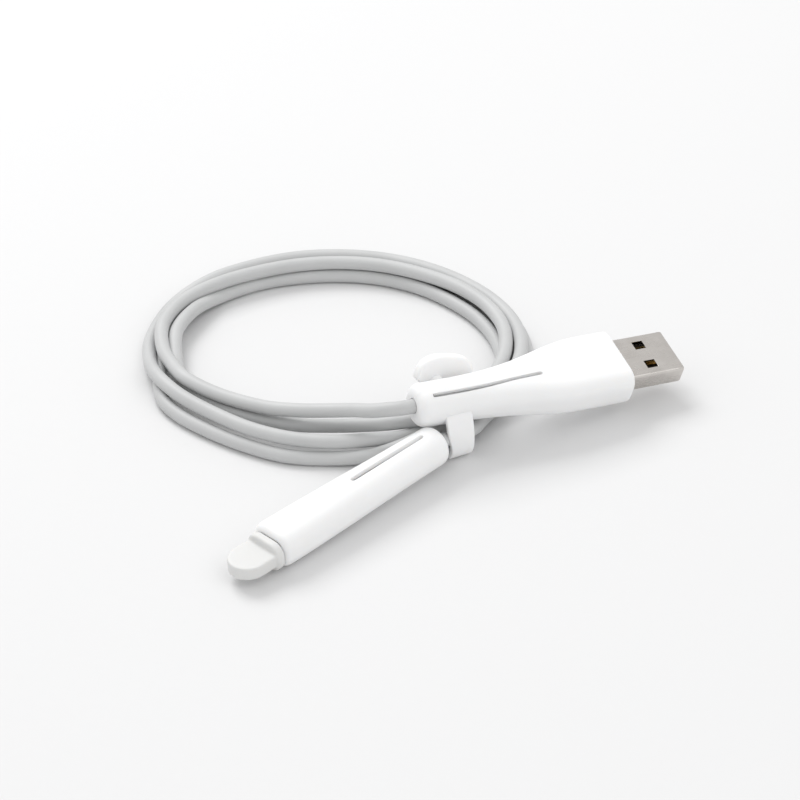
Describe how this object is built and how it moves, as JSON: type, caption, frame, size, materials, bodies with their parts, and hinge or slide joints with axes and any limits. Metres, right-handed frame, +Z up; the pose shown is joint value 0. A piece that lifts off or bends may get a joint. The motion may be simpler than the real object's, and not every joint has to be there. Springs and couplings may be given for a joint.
{
  "type": "charging cable",
  "caption": "Coiled charging cable with slotted silicone sleeves on its type-A plug and its phone plug, a buttoned strap round the coil and a pull-off cap.",
  "frame": {"origin": "middle of the base of the two ends' box (the sleeves, plugs, strap and cap, without the cable), on the surface the cable lies on", "axes": "+X towards the type-A plug's side, the longest extent of the two ends; +Y away from the phone plug, towards the far side of the coil; +Z up"},
  "size_m": [0.1215, 0.1253, 0.0194],
  "materials": {
    "white_silicone": "satin moulded silicone",
    "cap_silicone": "matte moulded silicone",
    "cable_jacket": "matte soft cable jacket",
    "housing_plastic": "moulded white plastic",
    "insulator": "black-brown moulded insulator",
    "nickel_steel": "nickel-plated sheet steel",
    "gold_contact": "gold-plated contact",
    "board_resin": "green solder resist",
    "core_red": "core insulation",
    "core_white": "core insulation",
    "core_green": "core insulation",
    "core_black": "core insulation"
  },
  "bodies": {
    "cable": {"blade_frame": "nickel_steel", "blade_insert": "housing_plastic", "blade_pad_top_1": "gold_contact", "blade_pad_top_2": "gold_contact", "blade_pad_top_3": "gold_contact", "blade_pad_top_4": "gold_contact", "blade_pad_top_5": "gold_contact", "blade_pad_top_6": "gold_contact", "blade_pad_top_7": "gold_contact", "blade_pad_top_8": "gold_contact", "blade_pad_under_1": "gold_contact", "blade_pad_under_2": "gold_contact", "blade_pad_under_3": "gold_contact", "blade_pad_under_4": "gold_contact", "blade_pad_under_5": "gold_contact", "blade_pad_under_6": "gold_contact", "blade_pad_under_7": "gold_contact", "blade_pad_under_8": "gold_contact", "board": "board_resin", "cable_coil": "cable_jacket", "cable_lead_phone": "cable_jacket", "cable_lead_plug": "cable_jacket", "chip": "insulator", "phone_boot": "housing_plastic", "phone_core_1": "core_red", "phone_core_2": "core_white", "phone_core_3": "core_green", "phone_core_4": "core_black", "phone_crimp": "nickel_steel", "phone_housing": "housing_plastic", "phone_sleeve": "white_silicone", "plug_boot": "housing_plastic", "plug_contact_1": "gold_contact", "plug_contact_2": "gold_contact", "plug_contact_3": "gold_contact", "plug_contact_4": "gold_contact", "plug_core_1": "core_red", "plug_core_2": "core_white", "plug_core_3": "core_green", "plug_core_4": "core_black", "plug_crimp": "nickel_steel", "plug_housing": "housing_plastic", "plug_rear_block": "insulator", "plug_shell": "nickel_steel", "plug_sleeve": "white_silicone", "plug_tongue": "insulator", "strap_band": "white_silicone", "strap_button": "white_silicone"},
    "cap": {"phone_cap": "cap_silicone"},
    "strap": {"strap_flap": "white_silicone"}
  },
  "joints": [
    {"name": "cap_pull", "type": "slide", "parent": "cable", "child": "cap", "axis": [-0.7067, -0.7067, -0.0349], "range_m": [0, 0.012]},
    {"name": "strap_fold", "type": "hinge", "parent": "cable", "child": "strap", "pos_m": [-0.0063, 0.01782, 0.0006], "axis": [-0.8894, -0.4571, 0], "range_deg": [0, 75]}
  ]
}
